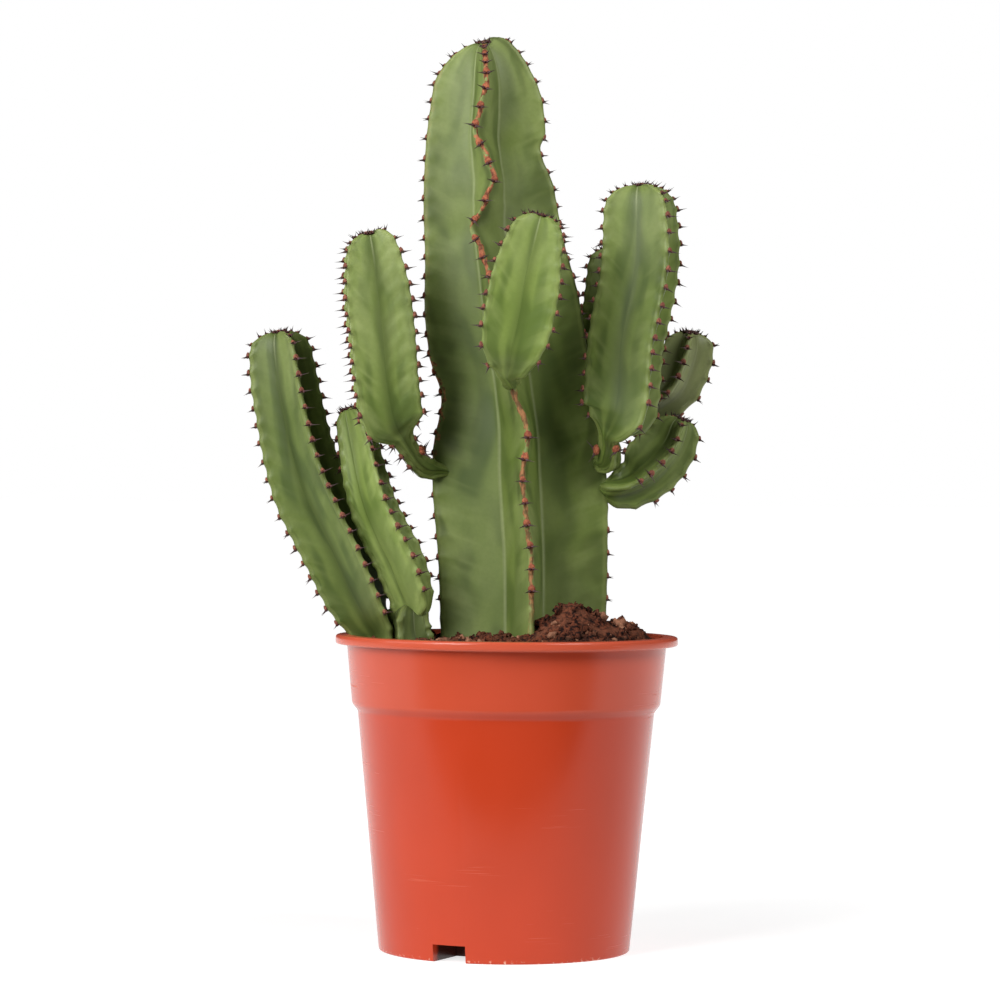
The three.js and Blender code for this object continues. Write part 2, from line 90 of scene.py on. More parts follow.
def make_rib(bearing, share=1, bare=(), cork=0, crown=0):
    """A rib: its bearing (0 right, 90 back, 180 left, 270 front), its share of the reach, where it
    bears no spines, how corky it is, and the height by which it rises past the growing point."""
    return Measures(bearing=bearing, share=share, bare=bare, cork=cork, crown=crown)


def even_ribs(*bearings):
    """Ribs that keep one bearing and the full reach all along."""
    return [make_rib(bearing) for bearing in bearings]


def stem_of(node, **measures):
    """A stem, as usual wherever its measures don't say otherwise, and named after its node."""
    return Measures(**{"node": node, "name": node, **USUAL_STEM, **measures})


# Stems. A path lists x, y, z and the reach of the ribs. A value that changes along the stem is a
# table of lengths and values. The waist is the furrows' share of the reach, the dome the height of
# the rounded tip, the pitch the distance between pads and root_free the length without any. A large
# pad lists its rib, its place along it and its size. Ripple scales the waves on the flanks, scallop
# the dips between the pads. The tip's shape is 2 for a round one and more for a flatter one. The
# look goes to the skin's material.
# A look's shade darkens or lightens a stem's whole skin: partly its own tone, partly painted shade
# and light.
USUAL_STEM = {"large_pads": [], "ripple": 0.25, "scallop": 1, "tip_shape": 2.7}

TRUNK = stem_of(
    node="trunk",
    path=[
        [10, 0, 150, 50], [10, 0, 190, 51], [9.5, 0, 240, 52.5], [7, 0, 289, 54], [4, 0, 330, 50.5],
        [0, 0, 362, 49], [-5, 0, 396, 48], [-9.5, 0, 429, 43.5], [-13, 0, 460, 41],
        [-15, 0, 491, 38], [-15, 0, 518, 35], [-15.5, 0, 538, 32], [-17.5, 0, 557, 29],
    ],
    ribs=[
        make_rib(
            0, share=[[315, 1], [341, 0.88], [355, 1], [370, 1], [402, 0.82]],
            bare=[[0, 62], [112, 170], [178, 202]], crown=5,
        ),
        make_rib([[0, 92], [200, 84], [400, 95]], share=0.9, bare=[[180, 212]]),
        make_rib(
            180, share=[[160, 1], [196, 0.9], [222, 1]], bare=[[132, 156]],
            cork=[[150, 0], [165, 0.7], [222, 0.8], [240, 0.1]],
        ),
        make_rib(
            [[0, 276], [90, 276], [120, 273], [140, 272], [167, 278], [194, 270], [230, 266],
             [262, 263], [280, 257], [293, 250], [309, 266], [323, 277], [336, 270], [351, 257],
             [366, 263], [382, 270]],
            share=0.9, bare=[[0, 66], [176, 208]],
            cork=[[50, 0.2], [70, 0.75], [250, 0.8], [270, 1], [400, 1]],
        ),
    ],
    waist=0.32, dome=28, pitch=[[170, 13.2], [260, 11.4]], root_free=54,
    tip_shape=2.1, ripple=0, scallop=0.35, large_pads=[(3, 212, 1.5)],
    look={
        "shade": 0.92, "feathers": 0.42, "furrow_line": 0.3, "furrow_dark": 0.1, "sheen": 0.32,
        "sheen_length": 270, "old_foot": 0.22, "patches": 0.6,
    },
)

FRONT_BRANCH = stem_of(
    node="branch_front",
    path=[
        [2, -38, 346, 3.4], [1, -52, 348, 6.5], [0, -65, 352.5, 8], [1, -73, 358.5, 15],
        [2, -77, 367, 21], [4, -78, 378, 24], [6.5, -78, 391, 24.5], [8.5, -78, 403, 24.5],
        [11, -78, 416, 23], [14, -78, 429, 20.5], [18, -78, 446, 17],
    ],
    ribs=even_ribs(60, 122, 206, 334),
    waist=0.38, dome=15, pitch=9.6, root_free=36,
    look={"shade": 1.2, "feathers": 0.32, "sheen": 0.25},
)

UPPER_LEFT_BRANCH = stem_of(
    node="branch_upper_left",
    path=[
        [-37, -1, 293, 3], [-48, -6, 294.5, 7.5], [-54.5, -15, 298.5, 7.5], [-60.5, -24, 306.5, 7.5],
        [-65.5, -31, 314.5, 9.5], [-69.5, -35.5, 322, 20], [-72, -38, 332, 22],
        [-74.5, -38, 348.5, 22.5], [-76.9, -38, 373.2, 23], [-79.9, -38, 397.7, 23],
        [-82.3, -38, 417.3, 20.5], [-85.3, -38, 436.9, 16.5],
    ],
    ribs=[*even_ribs(70, 158, 212), make_rib(340, crown=2.5)],
    waist=0.38, dome=15, pitch=9.8, root_free=26,
    large_pads=[(3, 33, 1.9)], ripple=0.7,
    look={
        "shade": 1.02, "feathers": 0.55, "furrow_dark": 0.6, "sheen": 0.42, "sheen_length": 120,
    },
)

OUTER_LEFT_BRANCH = stem_of(
    node="branch_outer_left",
    path=[
        [-75, -2, 160, 11], [-75, -3, 178, 13.5], [-76.8, -4, 193, 16], [-83, -6, 205, 20.5],
        [-91, -7, 221, 24], [-101, -8, 243, 25], [-111, -8, 263, 25.5], [-120, -8, 282, 25.5],
        [-128, -8, 306, 24], [-133, -8, 328, 23], [-137, -8, 349, 22.5], [-141, -8, 378, 20],
    ],
    ribs=[
        make_rib([[20, 55], [130, 24]], share=[[0, 0.75], [40, 0.8], [70, 1]], bare=[[84, 176]]),
        *even_ribs(105, 188, 296),
    ],
    waist=0.36, dome=15, pitch=10.4, root_free=46,
    look={"shade": 0.76, "feathers": 0.25, "furrow_dark": 0.6},
)

INNER_LEFT_BRANCH = stem_of(
    node="branch_inner_left",
    path=[
        [-57, -14, 205, 11], [-58.5, -15, 212, 17], [-63, -16, 224, 20.5], [-69, -16, 239, 21.5],
        [-76.5, -16, 253, 21.5], [-84, -15.5, 270, 20.5], [-89.1, -14, 288, 19.5],
        [-92.3, -10, 303, 18], [-95.4, -6, 317, 16], [-98.6, -3, 331, 12.5],
    ],
    ribs=[
        make_rib(5, share=0.88),
        make_rib(78),
        make_rib(185, share=[[0, 0.9], [16, 0.66], [66, 0.64], [115, 0.66]], bare=[[0, 94]]),
        make_rib(305),
    ],
    waist=0.4, dome=12, pitch=9.8, root_free=14,
    look={"shade": 1.32, "feathers": 0.42},
)

# What the inner left branch stands on; a piece of its own on the same node
STUB = stem_of(
    name="stub_left",
    node="branch_inner_left",
    path=[
        [-50, -15, 164, 11], [-54, -15, 181, 18], [-59, -14, 195, 20], [-59.5, -14, 212, 17],
    ],
    ribs=[
        make_rib(75, share=0.85), make_rib(172, share=[[0, 0.6], [34, 0.6], [47, 0.9]]),
        make_rib(250), make_rib(325, share=0.85),
    ],
    waist=0.55, dome=10, pitch=10, root_free=100,
    look={"shade": 0.5, "feathers": 0.1, "sheen": 0},
)

RIGHT_BRANCH = stem_of(
    node="branch_right",
    path=[
        [54, -1, 298, 3.4], [59.5, -9, 300.5, 9.5], [61, -17, 306.5, 8.5], [61.5, -25, 315, 7.5],
        [64.5, -29, 322, 17.5], [67.5, -30, 329, 24], [69, -30, 340, 25.5], [70, -30, 354, 25.5],
        [71, -30, 370, 25.5], [74, -30, 387, 26], [78, -30, 407, 26], [80, -30, 427, 26],
        [79.5, -30, 446, 25], [78.5, -30, 468, 23],
    ],
    ribs=even_ribs(22, 105, 190, 308),
    waist=0.36, dome=18, pitch=10.2, root_free=40,
    large_pads=[(2, 22, 1.8), (3, 27, 1.2)],
    look={"shade": 0.92, "feathers": 0.42},
)

RIGHT_HORN = stem_of(
    node="horn_right",
    path=[
        [56, 0, 285, 3.2], [61, 0, 284, 9], [66, 1, 284, 13], [71.5, 3, 285, 15.5],
        [79, 5, 288, 16.5], [87, 6, 293.5, 17.5], [94.5, 7, 301, 17.5], [101.5, 8, 311, 16],
        [107, 8, 327, 12.5],
    ],
    ribs=[
        *even_ribs(0, 90), make_rib(180, share=[[8, 0.85], [18, 0.9], [34, 1.3]]), make_rib(272),
    ],
    waist=0.42, dome=10, pitch=9.4, root_free=22,
    look={"shade": 0.9, "feathers": 0.15},
)

RIGHT_BACK_BRANCH = stem_of(
    node="branch_right_back",
    path=[
        [42, 0, 340, 3.2], [55, 12, 335, 6.5], [68, 21, 331, 8], [82, 24, 332, 11], [94, 24, 338, 14],
        [103, 22, 347, 16.5], [108, 22, 359, 17.5], [111, 22, 370, 17], [112.5, 22, 381, 15],
    ],
    ribs=even_ribs(0, 90, 180, 264),
    waist=0.42, dome=12, pitch=9.6, root_free=48,
    look={"shade": 0.95, "feathers": 0.3, "grey": 0.5},
)

BACK_BRANCH = stem_of(
    node="branch_back",
    path=[
        [3, 36, 344, 3.4], [11, 48, 347, 6.5], [25, 54, 350, 7], [40, 52, 355, 10.5],
        [52, 46, 364, 15.5], [59, 42, 377, 18.5], [63, 40, 395, 19], [64, 40, 413, 18],
        [63, 40, 434, 15],
    ],
    ribs=even_ribs(10, 100, 190, 280),
    waist=0.42, dome=13, pitch=9.6, root_free=40,
    look={"shade": 0.7, "feathers": 0.1},
)

STEMS = [
    TRUNK, FRONT_BRANCH, UPPER_LEFT_BRANCH, OUTER_LEFT_BRANCH, INNER_LEFT_BRANCH, STUB,
    RIGHT_BRANCH, RIGHT_HORN, RIGHT_BACK_BRANCH, BACK_BRANCH,
]

# How fine the stems are: rows along them, and places across a flank from its furrow to its crest
ROW_STEP = 1.4
DOME_ROWS = 18
FLANK_PLACES = np.array([0, 0.035, 0.08, 0.15, 0.25, 0.36, 0.48, 0.6, 0.71, 0.81, 0.9])
CREST_PLACES = [1, 1.03, 1.05]

# The crest stands out at each pad and dips between them. On a thin stem each size is held to its
# share of the reach. The rounding lists how far down and across the points beside the crest are.
CREST = Measures(
    depth=2.2, depth_share=0.3, width=1.55, width_share=0.25, tooth_width=0.6, tooth_share=0.06,
    rounding=[(1, 1), (0.3, 0.72)],
)
SCALLOP = Measures(depth=1.5, share=0.09)
DIPS_FROM = 0.78
FURROW = Measures(rounding=1.6, share=0.12)
FLANK_BULGE = 0.025
# Waves that slant across a flank, at full height on one that is wide enough
RIPPLE = Measures(height=0.7, slant=0.9, full_on=20)

# Scales a crown so that it lifts the crest by its full height at its highest place
CROWN_PEAK = 2.6

# Pads crowd together on a stem's tip: from this many dome heights down, to this share of the
# pitch, up to the last pad's distance from the growing point
CROWDING = Measures(domes=1.3, closest=0.45, last_pad=3)
# A neck this thin is nearly round, and a stem with this reach has its full furrows
ROUND_NECK = [6, 0.8]
FULL_RIBS = 16

# A corky pad, widest below its middle, and the two spines that leave it near its foot
PAD = Measures(
    length=4.2, width=4.1, height=2.4, sunk=0.35, below=0.4, skew=0.82, fullness=0.55, young=0.86,
    old=1.05, sizes=(0.85, 1.15), tip_loss=0.35, rings=8, sides=10, span=(0.04, 0.96),
)
SPINE = Measures(
    length=7, radius=1.15, swelling=0.6, swelling_fall=6, bend=0.6, outward=0.55, sideways=0.8,
    downward=0.12, lean=0.1, lengths=(0.75, 1.05), foot_below=0.24, foot_aside=0.22, sunk=0.2,
    rings=7, sides=6, span=(0, 0.96),
)
# The materials of an armour, by their place in its list
YOUNG_CORK, HORN, OLD_CORK = 0, 1, 2
OLD_FROM = 0.5

# The ring of small pads round a stem's growing point, and the last pads on the crests, at these
# shares of the ribs' reach
TUFT = Measures(
    count=9, radius=3.2, scatter=(0.7, 1.3), tilt=0.5, size=0.8, sizes=(0.8, 1.2), spread=0.4,
    spine=0.62, crest_shares=[0.6, 0.38], crest_size=0.75,
)

# The stage. A sheet lists half its width, its front and back in millimetres, and its glow. A light
# lists its place in metres and its watts. The camera, in metres and degrees, and the lights follow
# the photograph.
SHEETS = {"floor": (9000, -300, 40000, 1.1), "floor_front": (900, -1600, -700, 0.25)}
SOFTBOX_SIDE = 0.9
LIT_PLACE = Vector((0, 0, 0.28))
LIGHTS = {
    "key_left": ((-1.15, -1.36, 0.93), 31),
    "key_high": ((-0.88, -1.16, 1.5), 12),
    "side_left": ((-1.77, -0.48, 0.77), 7),
    "key_right": ((1.12, -0.94, 1.5), 26),
}
CAMERA = Measures(
    place=(-0.00486, -2.374, 0.2895), sensor=36, lens=139.19, pitch_down=0.326, roll=0.5,
)


# Meshes

def around(sides):
    """The angles of the points round a ring."""
    return np.linspace(0, math.tau, sides, endpoint=False)


def inside_box(points):
    """Keeps the ends of the topmost and outermost spines inside the frame's own box."""
    low, high = (np.array(corner) / MM for corner in CAD_BOX)
    return np.clip(points, low, high)


def add_object(name, data):
    """An object made from a mesh, a lamp or a camera."""
    made = bpy.data.objects.new(name, data)
    bpy.context.scene.collection.objects.link(made)
    return made


def mesh_object(name, points, faces):
    """A smooth mesh object from points in millimetres."""
    mesh = bpy.data.meshes.new(name)
    mesh.from_pydata((np.asarray(points) * MM).tolist(), [], [list(face) for face in faces])
    mesh.validate()
    mesh.shade_smooth()
    return add_object(name, mesh)


def store(made, name, values):
    """Keeps one number a point on a mesh, for its material to read."""
    attribute = made.data.attributes.new(name, "FLOAT", "POINT")
    attribute.data.foreach_set("value", np.asarray(values, np.float32))


def part_of(made, node):
    """Ties a piece to the frame to move with it, and hides the CAD node that it stands for."""
    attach(made, "root")
    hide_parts(node)


def eased(table, s):
    """The value at each s, eased between a short table's entries. A number is alike all over."""
    if np.isscalar(table):
        return np.full(np.shape(s), float(table))
    at, values = np.array(table, float).T
    index = np.clip(np.searchsorted(at, s, side="right"), 1, len(at) - 1)
    part = np.clip((s - at[index - 1]) / (at[index] - at[index - 1]), 0, 1)
    return values[index - 1] + (values[index] - values[index - 1]) * part * part * (3 - 2 * part)


def unit(vectors):
    """The vectors at length 1."""
    return vectors / np.linalg.norm(vectors, axis=-1, keepdims=True)


def grid_faces(rows, columns):
    """The faces of a tube of points, closed round and open at its ends."""
    row, column = np.meshgrid(np.arange(rows - 1), np.arange(columns), indexing="ij")
    after = (column + 1) % columns
    corners = [row * columns + column, row * columns + after,
               (row + 1) * columns + after, (row + 1) * columns + column]
    return np.stack(corners, axis=-1).reshape(-1, 4)


def capped_faces(rings, sides):
    """The faces of a tube whose two end points follow its rings."""
    faces = grid_faces(rings, sides).tolist()
    foot, head = rings * sides, rings * sides + 1
    top = (rings - 1) * sides
    for i in range(sides):
        after = (i + 1) % sides
        faces += [(after, i, foot), (top + i, top + after, head)]
    return faces


# Stems

def smooth_path(points, t):
    """A curve through all the points, read at each t from 0 to 1."""
    ends = [2 * points[:1] - points[1:2], points, 2 * points[-1:] - points[-2:-1]]
    padded = np.concatenate(ends)
    place = np.clip(t, 0, 1) * (len(points) - 1)
    index = np.minimum(place.astype(int), len(points) - 2)
    w = (place - index)[:, None]
    before, first, second, after = (padded[index + shift] for shift in range(4))
    slope_first = (second - before) / 2
    slope_second = (after - first) / 2
    square = 3 * (second - first) - 2 * slope_first - slope_second
    cube = 2 * (first - second) + slope_first + slope_second
    return first + w * (slope_first + w * (square + w * cube))


class Core:
    """The centre line of a stem, with its directions and its reach at any length along it."""

    DIVISIONS = 400
    FRONT = np.array([0, -1, 0])
    NUDGE = 1e-4

    def __init__(self, stem):
        self.stem = stem
        self.points = np.array(stem.path, float)
        self.t = np.linspace(0, 1, self.DIVISIONS + 1)
        steps = np.diff(smooth_path(self.points, self.t)[:, :3], axis=0)
        self.s = np.concatenate([[0], np.cumsum(np.linalg.norm(steps, axis=1))])
        self.length = self.s[-1]

    def frames(self, s):
        """The centre, the directions along, to the side and to the back, and the ribs' reach."""
        s = np.atleast_1d(np.asarray(s, float))
        inside = np.clip(s, 0, self.length)
        t = np.interp(inside, self.s, self.t)
        here = smooth_path(self.points, t)
        ahead = smooth_path(self.points, t + self.NUDGE)
        behind = smooth_path(self.points, t - self.NUDGE)
        along = unit((ahead - behind)[:, :3])
        front = unit(self.FRONT - (along @ self.FRONT)[:, None] * along)
        centre = here[:, :3] + along * (s - inside)[:, None]
        return centre, along, np.cross(along, front), -front, here[:, 3]

    def rise(self, s):
        """How far up the rounded tip a place is, from 0 to 1."""
        return np.clip(1 - (self.length - s) / self.stem.dome, 0, 1)

    def reach(self, rib, s):
        """The length of a rib from the centre line to its crest."""
        shape = self.stem.tip_shape
        return self.frames(s)[4] * eased(rib.share, s) * (1 - self.rise(s) ** shape) ** (1 / shape)

    def crown(self, rib, s):
        """How far a rib's crest stands up past the growing point that it rises round."""
        rise = self.rise(s)
        return rib.crown * CROWN_PEAK * rise ** 2 * np.sqrt(1 - rise ** 2)

    def in_space(self, s, section, lift):
        """The section's points at each s as points in space, each lifted along the stem."""
        centre, along, side, back, _ = (value[:, None] for value in self.frames(s))
        return centre + section[..., :1] * side + section[..., 1:] * back + lift[..., None] * along

    def crest(self, rib, s):
        """Points on the crest of a rib, in space."""
        section = planar(self.reach(rib, s), eased(rib.bearing, s))
        return self.in_space(s, section[:, None], self.crown(rib, s)[:, None])[:, 0]

    def pads(self, number):
        """Where the pads sit along a rib."""
        places = []
        pitch = self.stem.pitch
        s = float(eased(pitch, 0)) * (0.5 if number % 2 else 1)
        while s < self.length - CROWDING.last_pad:
            places.append(s)
            share = (self.length - s) / (self.stem.dome * CROWDING.domes)
            s += float(eased(pitch, s)) * min(max(share, CROWDING.closest), 1)
        return np.array(places)

    def rows(self):
        """The lengths at which a stem's mesh has a row of points, closer on the tip."""
        shaft = self.length - self.stem.dome
        along_shaft = np.linspace(0, shaft, int(shaft / ROW_STEP), endpoint=False)
        turn = np.linspace(0, math.pi / 2, DOME_ROWS, endpoint=False)
        return np.concatenate([along_shaft, shaft + self.stem.dome * np.sin(turn)])


def tooth_phase(pads, s):
    """0 at a pad and 1 midway between two pads."""
    edges = np.concatenate([[2 * pads[0] - pads[1]], pads, [2 * pads[-1] - pads[-2]]])
    index = np.clip(np.searchsorted(edges, s), 1, len(edges) - 1)
    below, above = edges[index - 1], edges[index]
    return np.clip(1 - np.abs(2 * (s - below) / (above - below) - 1), 0, 1)


def planar(out, degrees):
    """Points in the section plane, from a distance out and a bearing."""
    angle = np.radians(degrees)
    return np.stack([np.cos(angle) * out, np.sin(angle) * out], axis=-1)


def crest_outline(core, rib, pads, s):
    """The crest of a rib in the section plane: its middle, and on either side its edge points and
    how far the lowest of them is from where it would be on an even crest."""
    reach = core.reach(rib, s)
    bearing = eased(rib.bearing, s)
    phase = tooth_phase(pads, s)
    deepest = np.minimum(SCALLOP.depth, reach * SCALLOP.share)
    dip = core.stem.scallop * deepest * (1 - (1 - phase) ** 2)
    out = reach - dip
    depth = np.minimum(CREST.depth, reach * CREST.depth_share)
    even = np.minimum(CREST.width, reach * CREST.width_share)
    swelling = np.minimum(CREST.tooth_width, reach * CREST.tooth_share) * (1 - phase) ** 2
    sideways = planar(np.ones_like(s), bearing + 90)
    width = (even + swelling)[:, None] * sideways
    edges = {
        side: [
            planar(out - depth * down, bearing) + side * across * width
            for down, across in CREST.rounding
        ]
        for side in (-1, 1)
    }
    moved = {side: side * sideways * swelling[:, None] - planar(dip, bearing) for side in (-1, 1)}
    return planar(out, bearing), edges, moved


def furrow_outline(core, rib, next_rib, s):
    """The bottom of the furrow between a rib and the next one round, and the way out of it."""
    first = eased(rib.bearing, s)
    gap = (eased(next_rib.bearing, s) - first) % 360
    reach = (core.reach(rib, s) + core.reach(next_rib, s)) / 2
    waist = eased([ROUND_NECK, [FULL_RIBS, core.stem.waist]], core.frames(s)[4])
    return planar(reach * waist, first + gap / 2), planar(np.ones_like(s), first + gap / 2)


def flank_points(furrow, way_out, shoulder, moved, side, pads, s, ripple):
    """Rows of points from a furrow up to the crest's edge; only the outermost follow its teeth."""
    run = shoulder - moved - furrow
    length = np.linalg.norm(run, axis=1)
    normal = side * np.stack([-run[:, 1], run[:, 0]], axis=-1) / (length[:, None] + TINY)
    steep = np.clip(np.sum(run * way_out, axis=1) / (length + TINY), 0, 1)
    points = []
    for place in FLANK_PLACES:
        from_crest = length * (1 - place)
        middle = 4 * place * (1 - place)
        phase = tooth_phase(pads, s + RIPPLE.slant * from_crest)
        lift = FLANK_BULGE * length * middle
        wave = np.cos(math.pi * phase) / 2
        lift += ripple * RIPPLE.height * middle * wave * np.minimum(length / RIPPLE.full_on, 1)
        rounding = np.minimum(FURROW.rounding, FURROW.share * length)
        fill = steep * rounding * np.exp(-place * length / (rounding + TINY))
        follow = eased([[DIPS_FROM, 0], [1, 1]], np.array(place))
        offset = normal * lift[:, None] + way_out * fill[:, None] + moved * follow
        points.append(furrow + run * place + offset)
    return points


def stem_section(core, s):
    """All the points round a stem at each row, with their places from furrow to crest."""
    stem = core.stem
    ribs = stem.ribs
    climb = list(FLANK_PLACES) + CREST_PLACES
    up_and_down = climb + climb[-2:0:-1]
    columns, places, cork, flanks, lifts = [], [], [], [], []
    furrows = [
        furrow_outline(core, rib, ribs[(number + 1) % len(ribs)], s)
        for number, rib in enumerate(ribs)
    ]
    for number, rib in enumerate(ribs):
        pads = core.pads(number)
        crest, edges, moved = crest_outline(core, rib, pads, s)
        rise = flank_points(*furrows[number - 1], edges[-1][0], moved[-1], 1, pads, s, stem.ripple)
        fall = flank_points(*furrows[number], edges[1][0], moved[1], -1, pads, s, stem.ripple)[:0:-1]
        strip = rise + edges[-1] + [crest] + edges[1][::-1] + fall
        columns += strip
        places += up_and_down
        cork += [eased(rib.cork, s)] * len(strip)
        lifts += [core.crown(rib, s) * min(place, 1) for place in up_and_down]
        flanks += [2 * number] * len(climb) + [2 * number + 1] * (len(strip) - len(climb))
    columns, lifts, cork = (np.stack(values, axis=1) for values in (columns, lifts, cork))
    return columns, lifts, np.array(places), cork, np.array(flanks)


def inside_mouth(points):
    """Keeps a stem that leans on the pot's wall inside the pot's mouth."""
    limit = POT.band_top_radius - POT.wall - SOIL.clearance
    radius = np.hypot(points[:, 0], points[:, 1])
    low = points[:, 2] < POT.height + SOIL.clearance
    scale = np.where(low & (radius > limit), limit / np.maximum(radius, TINY), 1)
    return points * np.stack([scale, scale, np.ones_like(scale)], axis=-1)


def make_stem(stem, skin):
    """One stem's skin as a closed mesh."""
    core = Core(stem)
    s = core.rows()
    section, lifted, places, cork, flanks = stem_section(core, s)
    rows, columns = section.shape[:2]
    flanks_and_crests = inside_mouth(core.in_space(s, section, lifted).reshape(-1, 3))
    root, tip = core.frames(0)[0], core.frames(core.length)[0]
    points = inside_box(np.concatenate([flanks_and_crests, root, tip]))
    made = mesh_object(stem.name + "_skin", points, capped_faces(rows, columns))
    store(made, "place", np.append(np.tile(places, rows), [0, 1]))
    store(made, "along", np.append(np.repeat(s, columns), [0, core.length]))
    store(made, "flank", np.append(np.tile(flanks, rows), [0, 0]))
    store(made, "cork", np.append(cork.reshape(-1), [0, 0]))
    store(made, "from_tip", np.append(np.repeat(core.length - s, columns), [core.length, 0]))
    made.data.materials.append(skin)
    stem_part(made, stem)


def stem_part(made, stem):
    """Ties a piece of a stem to the frame."""
    part_of(made, stem.node)


# Pads and spines

def tube(places, sides, point_at, ends):
    """The points, tones and faces of a closed tube with a ring of points at each place along it."""
    points = [point_at(place, angle) for place in places for angle in around(sides)]
    tones = np.append(np.repeat(places, sides), [0, 1])
    return np.array(points + ends), tones, capped_faces(len(places), sides)


def pad_template():
    """A corky pad on its crest: x sideways, y along the rib, z out of it."""

    def point_at(place, angle):
        swell = math.sin(math.pi * place ** PAD.skew) ** PAD.fullness
        wide = math.cos(angle) * swell * PAD.width / 2
        tall = -math.sin(angle) * swell * PAD.height / 2
        return wide, (place - PAD.below) * PAD.length, tall

    ends = [(0, -PAD.below * PAD.length, 0), (0, (1 - PAD.below) * PAD.length, 0)]
    return tube(np.linspace(*PAD.span, PAD.rings), PAD.sides, point_at, ends)


def spine_template():
    """A slender spine along z, swollen at its foot and bent a little."""

    def point_at(place, angle):
        swelling = SPINE.swelling * math.exp(-SPINE.swelling_fall * place)
        radius = SPINE.radius * ((1 - SPINE.swelling) * (1 - place) + swelling)
        bend = SPINE.bend * place * place
        return math.cos(angle) * radius + bend, math.sin(angle) * radius, place * SPINE.length

    ends = [(0, 0, -SPINE.sunk), (SPINE.bend, 0, SPINE.length)]
    return tube(np.linspace(*SPINE.span, SPINE.rings), SPINE.sides, point_at, ends)


class Gathered:
    """Many small shapes collected into one mesh, with a tone for each of their points."""

    def __init__(self):
        self.points, self.faces, self.tones, self.materials, self.count = [], [], [], [], 0

    def add(self, points, faces, tone, material):
        self.points.append(points)
        self.faces += [[corner + self.count for corner in face] for face in faces]
        self.materials += [material] * len(faces)
        self.tones += list(np.broadcast_to(tone, len(points)))
        self.count += len(points)

    def finish(self, name, materials):
        made = mesh_object(name, inside_box(np.concatenate(self.points)), self.faces)
        store(made, "tone", self.tones)
        for material in materials:
            made.data.materials.append(material)
        made.data.polygons.foreach_set("material_index", self.materials)
        return made


def make_armour(stem, materials):
    """The pads and spines of one stem, as one piece. The stub bears none and has no such piece."""
    core = Core(stem)
    gathered = Gathered()
    for number, rib in enumerate(stem.ribs):
        for s in core.pads(number):
            if s < stem.root_free or any(low < s < high for low, high in rib.bare):
                continue
            size, cork = PAD.young, YOUNG_CORK
            if eased(rib.cork, s) > OLD_FROM:
                size, cork = PAD.old, OLD_CORK
            add_crest_pad(gathered, core, rib, s, size, cork)
    for number, s, size in stem.large_pads:
        add_crest_pad(gathered, core, stem.ribs[number], s, size, OLD_CORK)
    if gathered.count:
        add_tuft(gathered, core)
        stem_part(gathered.finish(stem.name + "_spines", materials), stem)


def add_crest_pad(gathered, core, rib, s, size, cork):
    """One pad on a rib's crest with its two spines; pads are smaller towards the tip."""
    below, crest, above = core.crest(rib, s + np.array([-1, 0, 1]))
    upward = unit(above - below)
    outward = crest - core.frames(s)[0][0]
    normal = unit(outward - upward * (outward @ upward))
    size *= (1 - PAD.tip_loss * core.rise(s)) * random.uniform(*PAD.sizes)
    add_pad(gathered, crest, upward, normal, size, cork)


def add_tuft(gathered, core):
    """Small pads and spines crowded round the growing point and on the crests that rise to it."""
    for rib in core.stem.ribs:
        for share in TUFT.crest_shares:
            rise = (1 - share ** core.stem.tip_shape) ** (1 / core.stem.tip_shape)
            s = core.length - core.stem.dome * (1 - rise)
            add_crest_pad(gathered, core, rib, s, TUFT.crest_size, YOUNG_CORK)
    centre, along, side, back, _ = (value[0] for value in core.frames(core.length))
    for angle in np.arange(TUFT.count) * math.tau / TUFT.count + random.uniform(0, 1):
        way_out = math.cos(angle) * side + math.sin(angle) * back
        place = centre + way_out * TUFT.radius * random.uniform(*TUFT.scatter)
        normal = unit(along + way_out * TUFT.tilt)
        upward = unit(along - normal * (along @ normal))
        size = TUFT.size * random.uniform(*TUFT.sizes)
        add_pad(gathered, place, upward, normal, size, YOUNG_CORK, TUFT.spread, TUFT.spine)


def add_pad(gathered, place, upward, normal, size, cork, spread=1, spine=1):
    """A pad with its two spines, at a place on the skin."""
    sideways = np.cross(upward, normal)
    points, tones, faces = pad_template()
    axes = np.array([sideways, upward, normal])
    gathered.add(place - normal * PAD.sunk * size + (points * size) @ axes, faces, tones, cork)
    points, tones, faces = spine_template()
    foot = place - upward * SPINE.foot_below * PAD.length * size
    for hand in (-1, 1):
        lean = random.normal(0, SPINE.lean, 3)
        direction = unit(
            normal * (SPINE.outward + lean[0])
            + sideways * hand * spread * (SPINE.sideways + lean[1])
            - upward * (SPINE.downward + lean[2])
        )
        bend_way = unit(normal - direction * (normal @ direction))
        axes = np.array([bend_way, np.cross(direction, bend_way), direction])
        thick = size ** 0.5
        scale = [thick, thick, thick * spine * random.uniform(*SPINE.lengths)]
        start = foot + sideways * hand * SPINE.foot_aside * PAD.width * size
        gathered.add(start + (points * scale) @ axes, faces, tones, HORN)


# Pot

def rounded(profile):
    """A profile with its corners rounded; each entry is a radius, a height and a rounding."""
    points = []
    for index, (radius, z, rounding) in enumerate(profile):
        corner = Vector((radius, z))
        if rounding == 0:
            points.append(tuple(corner))
            continue
        before = (Vector(profile[index - 1][:2]) - corner).normalized() * rounding
        after = (Vector(profile[index + 1][:2]) - corner).normalized() * rounding
        for part in np.linspace(0, 1, POT.corner_points):
            points.append(tuple(corner + before * (1 - part) ** 2 + after * part ** 2))
    return points


def turned(name, profile):
    """A solid of revolution from a profile that starts and ends on the axis."""
    ring = rounded(profile)[1:-1]
    points = [(r * math.cos(a), r * math.sin(a), z) for r, z in ring for a in around(POT.sides)]
    points += [(0, 0, profile[0][1]), (0, 0, profile[-1][1])]
    return mesh_object(name, points, capped_faces(len(ring), POT.sides))


